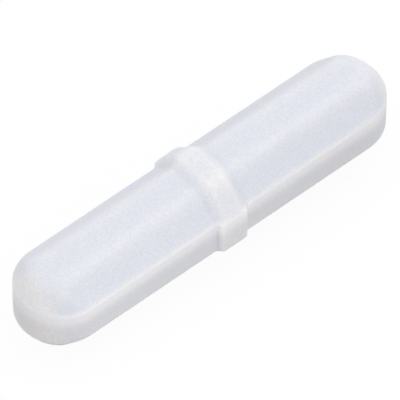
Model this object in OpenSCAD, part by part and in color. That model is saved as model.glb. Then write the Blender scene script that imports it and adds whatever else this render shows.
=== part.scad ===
// Magnetic stir bar: an octagonal PTFE jacket with a pivot ring, moulded round a rod magnet.
// The jacket is pressed like a tablet. A die gives it an upright band all round, and two
// punches give it the cups above and below the band. A punch needs a blunt rim, which leaves a
// narrow ledge between each cup and the band, round the bar's ends and round the ring alike.
// X runs along the bar, Y across it and Z up. The origin is the point that the bar spins on,
// the middle of the pivot ring's underside.

/* [Body] */
// Length of the bar from end to end
bar_l = 38.6; // [37:0.1:60]
// Width of the bar between its upright sides
bar_w = 8; // [7:0.1:10]
// Height of the bar between its lower and upper flats
bar_h = 8.3; // [7:0.1:10]
// Width of the lower and upper flats
flat_w = 3.3; // [2.8:0.1:4.4]
// Rounding of the long ridges beside the flats
ridge_r = 1; // [0.2:0.1:2]

/* [Side band] */
// Height of the upright band
band_h = 3.9; // [3:0.1:4.6]
// Width of the ledge by which the band stands proud of the cups
ledge_w = 0.2; // [0.1:0.05:0.5]
// Rounding of the band's two edges
band_r = 0.2; // [0.05:0.05:0.6]

/* [Domed ends] */
// Lean of the end faces above and below the band, in degrees from upright
end_lean = 31; // [5:1:40]
// Rounding where the end faces turn into the flats
end_r = 2.3; // [0.3:0.1:2.4]

/* [Pivot ring] */
// Distance by which the ring stands proud of the bar's flats and sides
ring_rise = 0.5; // [0.3:0.05:2]
// Width of the ring along the bar, at the band
ring_w = 2.9; // [2:0.1:6]
// Width of the ring's lower and upper flats
ring_flat_w = 4.2; // [3:0.1:5.5]
// Rounding of the ring's rims
ring_r = 0.3; // [0.05:0.05:0.6]
// Rounding of the ring's ridges beside its flats
ring_ridge_r = 0.8; // [0.1:0.1:1.5]

/* [Magnet] */
// Diameter of the rod magnet
magnet_d = 5.5; // [3:0.1:6.2]
// Length of the rod magnet
magnet_l = 33; // [16:0.5:34]
// Chamfer of the rod's end edges
magnet_chamfer = 0.3; // [0.1:0.05:1]
// Clearance between the rod and the jacket, all round
magnet_clearance = 0.02; // [0.01:0.01:0.1]

/* [Hidden] */
$fn = 96;

// The ends are half circles seen from above, centred this far from the middle of the bar
end_x = (bar_l - bar_w) / 2;
// Height of the bar's axis above the surface that the ring stands on
axis_z = bar_h / 2 + ring_rise;
// Half width of the cups where they meet the band
waist_y = bar_w / 2 - ledge_w;
// Half length that the flats would have beyond an end's centre with no rounding
crown_x = waist_y - (bar_h - band_h) / 2 * tan(end_lean);
// Size of the ring across the bar and upward
ring_y = bar_w + 2 * ring_rise;
ring_z = bar_h + 2 * ring_rise;
// Half width of the ring's cups where they meet the band
ring_waist_y = ring_y / 2 - ledge_w;
// Width of the ring's cups along the bar
ring_cup_w = ring_w - 2 * ledge_w;

// Unit vector from a toward b
function toward(a, b) = (b - a) / norm(b - a);

// Corners of an upright outline from those of its upper right quarter, as [x, y, radius]
function four_ways(quarter) = concat(
    [for (c = quarter) c],
    [for (i = [len(quarter) - 1 : -1 : 0]) [-quarter[i].x, quarter[i].y, quarter[i].z]],
    [for (c = quarter) [-c.x, -c.y, c.z]],
    [for (i = [len(quarter) - 1 : -1 : 0]) [quarter[i].x, -quarter[i].y, quarter[i].z]]
);

// Convex outline through corners [x, y, radius], each rounded by a true arc of its radius
module rounded_outline(corners) {
    last = len(corners) - 1;
    at = [for (c = corners) [c.x, c.y]];
    back = [for (i = [0 : last]) toward(at[i], at[i == 0 ? last : i - 1])];
    ahead = [for (i = [0 : last]) toward(at[i], at[i == last ? 0 : i + 1])];
    half_angle = [for (i = [0 : last]) acos(back[i] * ahead[i]) / 2];
    cut = [for (i = [0 : last]) corners[i].z / tan(half_angle[i])];
    polygon([
        for (i = [0 : last])
            each cut[i] > 0 ? [at[i] + cut[i] * back[i], at[i] + cut[i] * ahead[i]] : [at[i]]
    ]);
    for (i = [0 : last])
        if (cut[i] > 0)
            translate(at[i] + corners[i].z / sin(half_angle[i]) * toward([0, 0], back[i] + ahead[i]))
                circle(r = corners[i].z);
}

// A section, drawn as width across by height, run straight along X
module run_along(length) {
    rotate([90, 0, 90])
        linear_extrude(length, center = true)
            children();
}

// A section run along the bar and round both of its half-circle ends
module run_round_the_plan() {
    run_along(2 * end_x)
        children();
    for (side = [-1, 1])
        translate([side * end_x, 0, 0])
            rotate([0, 0, -90 * side])
                rotate_extrude(angle = 180)
                    intersection() {
                        children();
                        translate([0, -bar_h])
                            square([bar_w, 2 * bar_h]);
                    }
}

// Upright band of the body
module body_band() {
    run_round_the_plan()
        rounded_outline(four_ways([[bar_w / 2, band_h / 2, min(band_r, ledge_w)]]));
}

// Cups of the body: flats and sloping sides along it, cut off by the domed ends
module body_cups() {
    intersection() {
        run_along(bar_l)
            rounded_outline(four_ways([
                [waist_y, band_h / 2, 0],
                [flat_w / 2, bar_h / 2, ridge_r]
            ]));
        run_round_the_plan()
            rounded_outline(four_ways([
                [waist_y, band_h / 2, 0],
                [crown_x, bar_h / 2, end_r]
            ]));
    }
}

// Upright band of the ring, a block with every edge rounded
module ring_band() {
    edge_r = min(band_r, ledge_w);
    intersection() {
        run_along(ring_w)
            rounded_outline(four_ways([[ring_y / 2, band_h / 2, edge_r]]));
        rotate([90, 0, 0])
            linear_extrude(ring_y, center = true)
                rounded_outline(four_ways([[ring_w / 2, band_h / 2, edge_r]]));
        linear_extrude(band_h, center = true)
            rounded_outline(four_ways([[ring_w / 2, ring_y / 2, ring_r]]));
    }
}

// Two opposite faces of the ring's cups with rounded rims, turned up from Y by an angle
module ring_faces(angle, across) {
    rotate([angle, 0, 0])
        linear_extrude(ring_y + ring_z, center = true)
            rounded_outline(four_ways([[ring_cup_w / 2, across / 2, ring_r]]));
}

// Cups of the ring: flats and sloping sides
module ring_cups() {
    drop = (ring_z - band_h) / 2;
    inset = ring_waist_y - ring_flat_w / 2;
    slope = atan2(inset, drop);
    slope_across = ring_flat_w * cos(slope) + ring_z * sin(slope);
    intersection() {
        ring_faces(90, ring_z);
        ring_faces(slope, slope_across);
        ring_faces(-slope, slope_across);
        run_along(ring_cup_w)
            rounded_outline(four_ways([
                [ring_waist_y, band_h / 2, 0],
                [ring_flat_w / 2, ring_z / 2, ring_ridge_r]
            ]));
    }
}

// Rod with chamfered ends along X, larger all round by a clearance
module rod(clearance) {
    r = magnet_d / 2 + clearance;
    end = magnet_l / 2 + clearance;
    rotate([0, 90, 0])
        rotate_extrude()
            polygon([
                [0, -end],
                [r - magnet_chamfer, -end],
                [r, magnet_chamfer - end],
                [r, end - magnet_chamfer],
                [r - magnet_chamfer, end],
                [0, end]
            ]);
}

// White PTFE jacket, one moulding with its ring, closed round the magnet
module jacket() {
    color([0.92, 0.93, 0.95])
        translate([0, 0, axis_z])
            difference() {
                union() {
                    body_band();
                    body_cups();
                    ring_band();
                    ring_cups();
                }
                rod(magnet_clearance);
            }
}

// Cast rod magnet
module magnet() {
    color([0.42, 0.42, 0.44])
        translate([0, 0, axis_z])
            rod(0);
}

jacket();
magnet();
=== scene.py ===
import math

import bmesh
import bpy
import numpy as np
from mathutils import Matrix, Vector


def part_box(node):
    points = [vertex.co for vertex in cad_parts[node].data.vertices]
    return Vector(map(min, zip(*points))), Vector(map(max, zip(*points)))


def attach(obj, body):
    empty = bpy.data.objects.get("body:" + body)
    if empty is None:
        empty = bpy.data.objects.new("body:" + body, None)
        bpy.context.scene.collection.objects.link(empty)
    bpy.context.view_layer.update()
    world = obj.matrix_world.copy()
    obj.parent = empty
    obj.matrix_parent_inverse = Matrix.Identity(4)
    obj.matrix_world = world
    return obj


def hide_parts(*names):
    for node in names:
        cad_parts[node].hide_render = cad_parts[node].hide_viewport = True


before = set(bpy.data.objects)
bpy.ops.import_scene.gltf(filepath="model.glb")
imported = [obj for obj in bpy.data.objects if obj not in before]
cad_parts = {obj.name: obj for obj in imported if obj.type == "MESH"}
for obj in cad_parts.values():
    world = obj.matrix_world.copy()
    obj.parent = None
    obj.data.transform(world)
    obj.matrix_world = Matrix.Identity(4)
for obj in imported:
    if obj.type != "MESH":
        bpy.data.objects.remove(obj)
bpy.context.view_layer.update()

# ---------------------------------------------------------------- viewpoint
# A long lens looks down at the bar from its left front, so the bar runs from lower left to
# upper right of the picture and both long lower edges stay almost parallel.

MM = 0.001  # metres
VIEW_AZIMUTH = math.radians(40.28)  # turn of the view about Z, from looking along +Y
VIEW_ELEVATION = math.radians(52.1)
VIEW_DISTANCE = 0.8  # metres
FILM_WIDTH = 36  # millimetres
NEAREST_SEEN = 0.01  # metres
FARTHEST_SEEN = 20
PICTURE_WIDTH = 400  # pixels
PIXELS_PER_MM = 11.93  # scale of the picture at the middle of the bar
BAR_MIDDLE_PIXEL = (200.86, 199.11)

jacket_low, jacket_high = (np.array(corner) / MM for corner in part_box("jacket"))
axis_z = (jacket_low[2] + jacket_high[2]) / 2

to_the_right = Vector((math.cos(VIEW_AZIMUTH), -math.sin(VIEW_AZIMUTH), 0))
to_the_bar = Vector((
    math.sin(VIEW_AZIMUTH) * math.cos(VIEW_ELEVATION),
    math.cos(VIEW_AZIMUTH) * math.cos(VIEW_ELEVATION),
    -math.sin(VIEW_ELEVATION),
))
upward = to_the_right.cross(to_the_bar)
mm_right_of_middle = (BAR_MIDDLE_PIXEL[0] - PICTURE_WIDTH / 2) / PIXELS_PER_MM
mm_above_middle = (PICTURE_WIDTH / 2 - BAR_MIDDLE_PIXEL[1]) / PIXELS_PER_MM
bar_middle = Vector((0, 0, axis_z)) * MM
looked_at = bar_middle - (to_the_right * mm_right_of_middle + upward * mm_above_middle) * MM

camera = bpy.data.objects.new("viewpoint", bpy.data.cameras.new("viewpoint"))
camera.location = looked_at - to_the_bar * VIEW_DISTANCE
camera.rotation_euler = to_the_bar.to_track_quat("-Z", "Y").to_euler()
camera.data.sensor_width = FILM_WIDTH
camera.data.lens = FILM_WIDTH * VIEW_DISTANCE / (PICTURE_WIDTH / PIXELS_PER_MM * MM)
camera.data.clip_start = NEAREST_SEEN
camera.data.clip_end = FARTHEST_SEEN
bpy.context.scene.collection.objects.link(camera)
bpy.context.scene.camera = camera

# ---------------------------------------------------------------- jacket
# White PTFE powder pressed in a die and sintered round the magnet, in one piece with the
# pivot ring. The die forms the upright band, and two punches form the cups above and below
# it. The punches' blunt rims leave a narrow ledge between cup and band.

BAND_HEIGHT = 3.9  # all in millimetres
LEDGE = 0.2  # how far the cups stand back from the band along the bar, and then at the tips
TIP_LEDGE = 0.1
LEDGE_FALL = 0.3  # how far down the band its rim is rounded
FLAT_WIDTH = 3.3
RIDGE_RADIUS = 1.4
END_LEAN = math.radians(31)
END_RADIUS = 2.3
RING_RISE = 0.5
RING_WIDTH = 2.9
RING_FLAT_WIDTH = 4.2
RING_RIDGE_RADIUS = 1.3
RING_SIDE = 1.3  # how far along the bar its side falls in the cups, and then in the band
RING_BAND_SIDE = 0.4
WEAR_PASSES = 10
END_CREASE_POWER = 5  # of the crease at the tip, and then along the bar; the higher, the sharper
SHARPEST_CREASE_POWER = 60
SMALLEST_SINE = 1e-6  # keeps the power finite where the direction is straight across

bar_half = jacket_high - np.array([0, 0, axis_z])  # half length, half width and half height
end_x = bar_half[0] - (bar_half[1] - RING_RISE)
body_waist = bar_half[1] - RING_RISE - LEDGE
body_crown = bar_half[2] - RING_RISE
ring_waist = bar_half[1] - LEDGE
ring_crown = bar_half[2]
ring_cup_x = RING_WIDTH / 2 - LEDGE


def rounded_drop(reach, crown, waist, edge, radius):
    """How far a cup's surface lies below its flat, at each reach out from the middle.

    The flat runs out to the edge, and a straight side falls from there to the band at the
    waist. An arc of the radius joins the two: it touches each at the same distance from the
    edge, and its drop is the radius less the height left under its circle."""
    fall = (crown - BAND_HEIGHT / 2) / (waist - edge)
    touch = radius * math.tan(math.atan(fall) / 2)
    arc_from = edge - touch
    arc_to = edge + touch * math.cos(math.atan(fall))
    along_arc = np.clip((reach - arc_from) / radius, 0, 1)
    on_arc = radius * (1 - np.sqrt(1 - along_arc ** 2))
    return np.where(reach < arc_from, 0, np.where(reach < arc_to, on_arc, (reach - edge) * fall))


def either_drop(drop_a, drop_b, depth, power):
    """The deeper of two drops, with the crease between them worn to a soft bulge.

    Each drop becomes a share of the depth, raised to a power. The sum of the two less their
    product is brought back by the root, so it is the whole depth wherever either drop is."""
    share_a = (drop_a / depth) ** power
    share_b = (drop_b / depth) ** power
    return depth * (share_a + share_b - share_a * share_b) ** (1 / power)


def steps(start, stop, count):
    """Count even steps from start towards stop, without the last."""
    return np.linspace(start, stop, count, endpoint=False)


# Stations round the plan of one quarter, from the middle of the ring to the tip of an end.
# Each has a place along the bar and an angle round the end.
RING_STATIONS = 6
RING_SIDE_STATIONS = 30
BAR_STATIONS = 32
END_STATIONS = 37
ring_side_from = ring_cup_x - RING_SIDE / 2
ring_side_to = ring_cup_x + RING_SIDE / 2 + LEDGE
across_ring = steps(0, ring_side_from, RING_STATIONS)
down_ring_side = steps(ring_side_from, ring_side_to, RING_SIDE_STATIONS)
along_bar = steps(ring_side_to, end_x, BAR_STATIONS)
round_end = np.linspace(0, math.pi / 2, END_STATIONS)
straight_x = np.concatenate([across_ring, down_ring_side, along_bar])
station_x = np.concatenate([straight_x, np.full(len(round_end), end_x)])
station_turn = np.concatenate([np.zeros(len(straight_x)), round_end])

# Columns down the profile of one quarter, from the middle of the flat to half the band's
# height: a share of the way out to the waist, then the ledge's arc, then the upright band.
CUP_COLUMNS = 49
LEDGE_COLUMNS = 8
BAND_COLUMNS = 14
across_cup = np.linspace(0, 1, CUP_COLUMNS)
ledge_turn = np.linspace(math.pi / 2, 0, LEDGE_COLUMNS + 1)[1:]
down_band = np.linspace(1, 0, BAND_COLUMNS + 1)[1:]
column_reach = np.concatenate([across_cup, np.ones(LEDGE_COLUMNS + BAND_COLUMNS)])
column_ledge = np.concatenate([
    np.zeros(CUP_COLUMNS),
    LEDGE * np.cos(ledge_turn),
    np.full(BAND_COLUMNS, LEDGE),
])
ledge_foot = BAND_HEIGHT / 2 - LEDGE_FALL
column_band_z = np.concatenate([
    np.full(CUP_COLUMNS, BAND_HEIGHT / 2),
    ledge_foot + LEDGE_FALL * np.sin(ledge_turn),
    ledge_foot * down_band,
])
column_ring_side = RING_SIDE + (RING_BAND_SIDE - RING_SIDE) * column_ledge / LEDGE
in_cup = np.arange(len(column_reach)) < CUP_COLUMNS


def quarter_of_the_jacket():
    """Points of the quarter with x, y and z above zero, as stations by columns by three.

    A point stands out from the spine by its column's share of the waist, and past the waist
    by the ledge's arc, in the direction that its station faces. In the cups its height is the
    crown less the deeper of two drops: the octagon's, from its distance across the bar, and
    the domed end's, from its distance out from the spine. The crease between them softens as
    the direction turns from across the bar to along it. Down the ring's side the point moves
    from its place on the ring to its place on the body by half a wave of the cosine, shorter
    in the band than in the cups and further along the bar by the ledge's arc. Round the end
    the cups are stretched outwards, by the square of the sine of the angle, until the ledge
    at the tip is as narrow as it should be."""
    turn = station_turn[:, None]
    reach = column_reach * body_waist
    across = reach * np.cos(turn)
    octagon = rounded_drop(across, body_crown, body_waist, FLAT_WIDTH / 2, RIDGE_RADIUS)
    depth = body_crown - BAND_HEIGHT / 2
    dome_edge = body_waist - depth * math.tan(END_LEAN)
    dome = rounded_drop(reach, body_crown, body_waist, dome_edge, END_RADIUS)
    crease_power = END_CREASE_POWER / np.maximum(np.sin(turn), SMALLEST_SINE)
    crease_power = np.minimum(crease_power, SHARPEST_CREASE_POWER)
    body_z = body_crown - either_drop(octagon, dome, depth, crease_power)
    ring_reach = column_reach * ring_waist
    ring_edge = RING_FLAT_WIDTH / 2
    ring_z = ring_crown - rounded_drop(
        ring_reach, ring_crown, ring_waist, ring_edge, RING_RIDGE_RADIUS,
    )

    down_side = (station_x[:, None] - ring_cup_x - column_ledge) / column_ring_side
    rise = (1 - np.sin(math.pi * np.clip(down_side, -0.5, 0.5))) / 2
    out = reach * (1 - rise) + ring_reach * rise + column_ledge
    out += (LEDGE - TIP_LEDGE) * np.sin(turn) ** 2 * column_reach * (1 - column_ledge / LEDGE)
    x = station_x[:, None] + out * np.sin(turn)
    y = out * np.cos(turn)
    z = np.where(in_cup, body_z * (1 - rise) + ring_z * rise, column_band_z)
    return worn(np.stack(np.broadcast_arrays(x, y, z), axis=-1))


def worn(points):
    """The same points with every edge and corner down the profile worn soft.

    Each point moves to the mean of itself, twice, and its two neighbours, again and again."""
    for _ in range(WEAR_PASSES):
        points[:, 1:-1] = (points[:, :-2] + 2 * points[:, 1:-1] + points[:, 2:]) / 4
    return points


def grid_faces(rows, columns, flipped):
    """Corner numbers of the four-sided faces of a grid of rows by columns, row after row."""
    first = (np.arange(rows - 1)[:, None] * columns + np.arange(columns - 1)).ravel()
    corners = np.stack([first, first + columns, first + columns + 1, first + 1], axis=-1)
    return corners[:, ::-1] if flipped else corners


def all_eight_ways(points):
    """The same grid mirrored in every mix of the three planes, with its faces turned outwards.

    A mirrored copy has its signs changed, and an odd number of changes turns its faces over."""
    copies, faces = [], []
    rows, columns = points.shape[:2]
    for signs in np.stack(np.meshgrid([1, -1], [1, -1], [1, -1]), axis=-1).reshape(-1, 3):
        faces.append(grid_faces(rows, columns, signs.prod() < 0) + len(copies) * rows * columns)
        copies.append((points * signs).reshape(-1, 3))
    return np.concatenate(copies), np.concatenate(faces)


def hollow_for_a_rod(radius, half_length, chamfer, sides):
    """Wall of the hollow round a rod along X, its faces turned towards the rod.

    A profile from the middle of one end, out over its chamfer, along, and back in to the
    middle of the other end is turned round X, with the cosine and sine of the angle as y and z."""
    reach = np.array([0, radius - chamfer, radius, radius, radius - chamfer, 0])
    along_half = np.array([half_length, half_length, half_length - chamfer])
    along = np.concatenate([along_half, -along_half[::-1]])
    angle = np.linspace(0, 2 * math.pi, sides + 1)
    points = np.stack(np.broadcast_arrays(
        along[:, None], reach[:, None] * np.cos(angle), reach[:, None] * np.sin(angle),
    ), axis=-1)
    return points.reshape(-1, 3), grid_faces(len(reach), sides + 1, True)


MAGNET_CLEARANCE = 0.02
MAGNET_CHAMFER = 0.3
HOLLOW_SIDES = 96
magnet_low, magnet_high = (np.array(corner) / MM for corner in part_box("magnet"))
magnet_half_length, magnet_radius = (magnet_high - magnet_low)[:2] / 2

skin_points, skin_faces = all_eight_ways(quarter_of_the_jacket())
hollow_points, hollow_faces = hollow_for_a_rod(
    magnet_radius + MAGNET_CLEARANCE,
    magnet_half_length + MAGNET_CLEARANCE,
    MAGNET_CHAMFER,
    HOLLOW_SIDES,
)
jacket_points = np.concatenate([skin_points, hollow_points])
jacket_faces = np.concatenate([skin_faces, hollow_faces + len(skin_points)])

mesh = bpy.data.meshes.new("ptfe_jacket")
mesh.from_pydata(((jacket_points + [0, 0, axis_z]) * MM).tolist(), [], jacket_faces.tolist())

# The rod shows faintly where the PTFE over it is thin. That tint is also weighted by height:
# strongest at the foot of a cup, weaker on its flat and weakest on the band. The upper half of
# the band carries a painted highlight. It is painted whiter from a little below its middle up
# to just under its rim, standing in for the light that glows through the band near its top edge.
PAST_END = 1.25  # how much sooner the rod is lost to sight past its end than past its side
THIN_WALL = 1.2  # millimetres
THICK_WALL = 2.4
TINT_ON_BAND = 0.6
TINT_ON_FLAT = 0.75
RIM_BLUR = 0.1
# Where the painted highlight on the upper band starts, where it is full, and how fast it rises
PAINTED_HIGHLIGHT_FROM = -0.3  # heights above the middle of the bar
PAINTED_HIGHLIGHT_TO = 1.15
PAINTED_HIGHLIGHT_POWER = 2
FADE_FROM = 1.6
FADE_TO = 1.9

past_end = np.maximum(np.abs(jacket_points[:, 0]) - magnet_half_length, 0)
past_side = np.maximum(np.hypot(jacket_points[:, 1], jacket_points[:, 2]) - magnet_radius, 0)
wall = np.hypot(PAST_END * past_end, past_side)
thinness = np.clip((THICK_WALL - wall) / (THICK_WALL - THIN_WALL), 0, 1)
# Weights the tint by height: full at the foot of a cup just above the rim, less towards its flat, and
# least on the band.
tint_by_height = np.interp(
    np.abs(jacket_points[:, 2]),
    (BAND_HEIGHT / 2 - RIM_BLUR, BAND_HEIGHT / 2 + RIM_BLUR, body_crown),
    (TINT_ON_BAND, 1, TINT_ON_FLAT),
)
mesh.attributes.new("rod_shows", "FLOAT", "POINT").data.foreach_set("value", thinness * tint_by_height)

# Painted highlight: the band is painted whiter from a little below its middle, fully just under the
# rim, and not at all past the rim. The lower half of the band gets none.
height = jacket_points[:, 2]
painted_highlight_rise = np.clip((height - PAINTED_HIGHLIGHT_FROM) / (PAINTED_HIGHLIGHT_TO - PAINTED_HIGHLIGHT_FROM), 0, 1) ** PAINTED_HIGHLIGHT_POWER
past_rim = np.clip((height - FADE_FROM) / (FADE_TO - FADE_FROM), 0, 1)
mesh.attributes.new("painted_band_highlight", "FLOAT", "POINT").data.foreach_set("value", painted_highlight_rise * (1 - past_rim))

# The eight copies meet along their edges. Their points there are joined, and so are those
# of the hollow's seam and of the middles of its ends.
SAME_POINT = 1e-5  # millimetres
joined = bmesh.new()
joined.from_mesh(mesh)
bmesh.ops.remove_doubles(joined, verts=joined.verts, dist=SAME_POINT * MM)
joined.to_mesh(mesh)
joined.free()
mesh.shade_smooth()
jacket = bpy.data.objects.new("ptfe_jacket", mesh)
bpy.context.scene.collection.objects.link(jacket)


class Value:
    """What comes out of a node. Sums written on it add the Math nodes that work them out."""

    def __init__(self, tree, socket):
        self.tree = tree
        self.socket = socket

    def math(self, operation, other):
        return self.tree.add("ShaderNodeMath", {"operation": operation}, {0: self, 1: other})

    def __add__(self, other):
        return self.math("ADD", other)

    def __mul__(self, other):
        return self.math("MULTIPLY", other)

    def __or__(self, other):
        """The larger of the two, so one mask or the other."""
        return self.math("MAXIMUM", other)

    __radd__ = __add__
    __rmul__ = __mul__
    __ror__ = __or__


class Nodes:
    """The empty node tree of a material or of the world, and the way to fill it."""

    def __init__(self, owner):
        owner.use_nodes = True
        self.nodes = owner.node_tree.nodes
        self.links = owner.node_tree.links
        self.nodes.clear()

    def add(self, kind, settings, sockets, output=0):
        """Adds a node of a kind, and gives what comes out of it.

        Its settings come first, and then a value or a link for each of its sockets."""
        node = self.nodes.new(kind)
        for name, setting in settings.items():
            setattr(node, name, setting)
        for name, value in sockets.items():
            if isinstance(value, Value):
                self.links.new(value.socket, node.inputs[name])
            else:
                node.inputs[name].default_value = value
        return Value(self, node.outputs[output]) if node.outputs else None


PTFE_WHITE = (0.834, 0.826, 0.812, 1)
PTFE_OVER_ROD = (0.714, 0.730, 0.771, 1)
# White of the painted highlight on the upper band
PTFE_PAINTED_HIGHLIGHT = (0.97, 0.965, 0.965, 1)
PTFE_IOR = 1.36
MOTTLE_SCALE = 450  # a metre
GRAIN_SCALE = 5200
MOTTLE_IN_TINT = 0.2
GRAIN_IN_COLOUR = 0.34
LEAST_ROUGHNESS = 0.40
ROUGHER_BY = 0.08
GRAIN_HEIGHT = 0.02 * MM
LIGHT_REACH = 0.8 * MM  # how far light wanders in the PTFE, and red's, green's and blue's share of it
LIGHT_REACH_SHARES = (1.0, 0.85, 0.7)

ptfe = bpy.data.materials.new("sintered_ptfe")
tree = Nodes(ptfe)
place = tree.add("ShaderNodeTexCoord", {}, {}, "Object")
rod_shows = tree.add("ShaderNodeAttribute", {"attribute_name": "rod_shows"}, {}, "Fac")
painted_band_highlight = tree.add("ShaderNodeAttribute", {"attribute_name": "painted_band_highlight"}, {}, "Fac")
mottle = tree.add("ShaderNodeTexNoise", {}, {
    "Vector": place, "Scale": MOTTLE_SCALE, "Detail": 3, "Roughness": 0.6,
})
grain = tree.add("ShaderNodeTexNoise", {}, {
    "Vector": place, "Scale": GRAIN_SCALE, "Detail": 4, "Roughness": 0.65,
})
tint = rod_shows * (mottle * MOTTLE_IN_TINT + (1 - MOTTLE_IN_TINT / 2))
white = tree.add("ShaderNodeMix", {"data_type": "RGBA"}, {0: tint, 6: PTFE_WHITE, 7: PTFE_OVER_ROD}, 2)
# Mixes in the painted highlight on the upper band
white = tree.add("ShaderNodeMix", {"data_type": "RGBA"}, {0: painted_band_highlight, 6: white, 7: PTFE_PAINTED_HIGHLIGHT}, 2)
colour = tree.add("ShaderNodeVectorMath", {"operation": "SCALE"}, {
    0: white, "Scale": grain * GRAIN_IN_COLOUR + (1 - GRAIN_IN_COLOUR / 2),
})
bump = tree.add("ShaderNodeBump", {}, {"Height": grain, "Strength": 0.25, "Distance": GRAIN_HEIGHT})
surface = tree.add("ShaderNodeBsdfPrincipled", {"subsurface_method": "RANDOM_WALK"}, {
    "Base Color": colour,
    "Roughness": mottle * ROUGHER_BY + grain * ROUGHER_BY + LEAST_ROUGHNESS,
    "IOR": PTFE_IOR,
    "Subsurface Weight": 1,
    "Subsurface Radius": LIGHT_REACH_SHARES,
    "Subsurface Scale": LIGHT_REACH,
    "Normal": bump,
})
tree.add("ShaderNodeOutputMaterial", {}, {"Surface": surface})
mesh.materials.append(ptfe)

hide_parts("jacket")
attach(jacket, "root")

# ---------------------------------------------------------------- magnet
# Rod of cast Alnico, ground round, with chamfered ends and magnetised along its length. It
# lies loose by a hair in the jacket, which is sintered shut round it. Its skin is the dull
# grey of the casting, with its crystals, small pits and stains.

CASTING_DARK = (0.20, 0.20, 0.215, 1)
CASTING_LIGHT = (0.40, 0.395, 0.40, 1)
CRYSTAL_SCALE = 1800  # a metre
PIT_SCALE = 900
STAIN_SCALE = 160
CRYSTALS_IN_COLOUR = 0.35
STAIN_IN_COLOUR = 0.5
SMOOTHEST = 0.38
PITS_IN_ROUGHNESS = 0.25
PIT_DEPTH = 0.03 * MM

alnico = bpy.data.materials.new("cast_alnico")
tree = Nodes(alnico)
place = tree.add("ShaderNodeTexCoord", {}, {}, "Object")
crystals = tree.add("ShaderNodeTexVoronoi", {}, {"Vector": place, "Scale": CRYSTAL_SCALE}, "Color")
pits = tree.add("ShaderNodeTexNoise", {}, {
    "Vector": place, "Scale": PIT_SCALE, "Detail": 5, "Roughness": 0.7,
})
stain = tree.add("ShaderNodeTexNoise", {}, {"Vector": place, "Scale": STAIN_SCALE, "Detail": 2})
brightness = tree.add("ShaderNodeVectorMath", {"operation": "LENGTH"}, {0: crystals}, 1)
lightness = brightness * CRYSTALS_IN_COLOUR + stain * STAIN_IN_COLOUR
colour = tree.add("ShaderNodeMix", {"data_type": "RGBA"}, {
    0: lightness, 6: CASTING_DARK, 7: CASTING_LIGHT,
}, 2)
bump = tree.add("ShaderNodeBump", {}, {"Height": pits, "Strength": 0.5, "Distance": PIT_DEPTH})
surface = tree.add("ShaderNodeBsdfPrincipled", {}, {
    "Base Color": colour,
    "Metallic": 0.85,
    "Roughness": pits * PITS_IN_ROUGHNESS + SMOOTHEST,
    "Normal": bump,
})
tree.add("ShaderNodeOutputMaterial", {}, {"Surface": surface})
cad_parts["magnet"].data.materials.clear()
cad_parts["magnet"].data.materials.append(alnico)

# ---------------------------------------------------------------- table and light
# A white table inside a white tent, whose roof is a little cooler than its sides. One soft
# box hangs overhead, a weak one stands low on the right, and a small card close by lifts
# the near side of the bar. The table looks white but throws little light back up.

TABLE_SIZE = 4  # metres
TABLE_SEEN = (0.98, 0.98, 0.98, 1)
TABLE_BOUNCE = (0.388, 0.388, 0.408, 1)
TABLE_GLOW = 0.93

table_mesh = bpy.data.meshes.new("table")
half = TABLE_SIZE / 2
table_corners = [(-half, -half, 0), (half, -half, 0), (half, half, 0), (-half, half, 0)]
table_mesh.from_pydata(table_corners, [], [(0, 1, 2, 3)])
table = bpy.data.objects.new("table", table_mesh)
bpy.context.scene.collection.objects.link(table)

table_paint = bpy.data.materials.new("table_paint")
tree = Nodes(table_paint)
camera_ray = tree.add("ShaderNodeLightPath", {}, {}, "Is Camera Ray")
glossy_ray = tree.add("ShaderNodeLightPath", {}, {}, "Is Glossy Ray")
through_ray = tree.add("ShaderNodeLightPath", {}, {}, "Is Transmission Ray")
seen = camera_ray | glossy_ray | through_ray
colour = tree.add("ShaderNodeMix", {"data_type": "RGBA"}, {0: seen, 6: TABLE_BOUNCE, 7: TABLE_SEEN}, 2)
lit = tree.add("ShaderNodeBsdfDiffuse", {}, {"Color": colour})
glow = tree.add("ShaderNodeEmission", {}, {"Color": (1, 1, 1, 1), "Strength": 1})
paint = tree.add("ShaderNodeMixShader", {}, {0: seen * TABLE_GLOW, 1: lit, 2: glow})
tree.add("ShaderNodeOutputMaterial", {}, {"Surface": paint})
table_mesh.materials.append(table_paint)

TENT_SIDES = (0.985, 0.972, 0.955, 1)
TENT_ROOF = (0.90, 0.975, 1.22, 1)
ROOF_FROM = 0.83  # height on a dome of radius 1
ROOF_TO = 0.87

world = bpy.data.worlds.new("tent")
tree = Nodes(world)
direction = tree.add("ShaderNodeTexCoord", {}, {}, "Generated")
upwards = tree.add("ShaderNodeSeparateXYZ", {}, {"Vector": direction}, "Z")
roof = tree.add("ShaderNodeMapRange", {}, {
    "Value": upwards, "From Min": ROOF_FROM, "From Max": ROOF_TO,
})
colour = tree.add("ShaderNodeMix", {"data_type": "RGBA"}, {0: roof, 6: TENT_SIDES, 7: TENT_ROOF}, 2)
tent = tree.add("ShaderNodeBackground", {}, {"Color": colour, "Strength": 1.0})
tree.add("ShaderNodeOutputWorld", {}, {"Surface": tent})
bpy.context.scene.world = world

LAMPS = {
    # name: place, point it faces and width in metres, and power in watts
    "overhead_softbox": ((0.24, -0.10, 0.55), (0, 0, 0), 0.3, 0.22),
    "right_softbox": ((0.30, 0.02, 0.14), (0, 0, 0), 0.2, 0.04),
    "near_card": ((-0.015, -0.038, 0.009), (-0.009, -0.004, 0.005), 0.03, 0.0022),
}

for name, (place, aim, width, power) in LAMPS.items():
    lamp = bpy.data.objects.new(name, bpy.data.lights.new(name, "AREA"))
    lamp.data.shape = "DISK"
    lamp.data.size = width
    lamp.data.energy = power
    lamp.location = place
    lamp.rotation_euler = (Vector(aim) - Vector(place)).to_track_quat("-Z", "Y").to_euler()
    bpy.context.scene.collection.objects.link(lamp)

bpy.context.scene.view_settings.view_transform = "Standard"
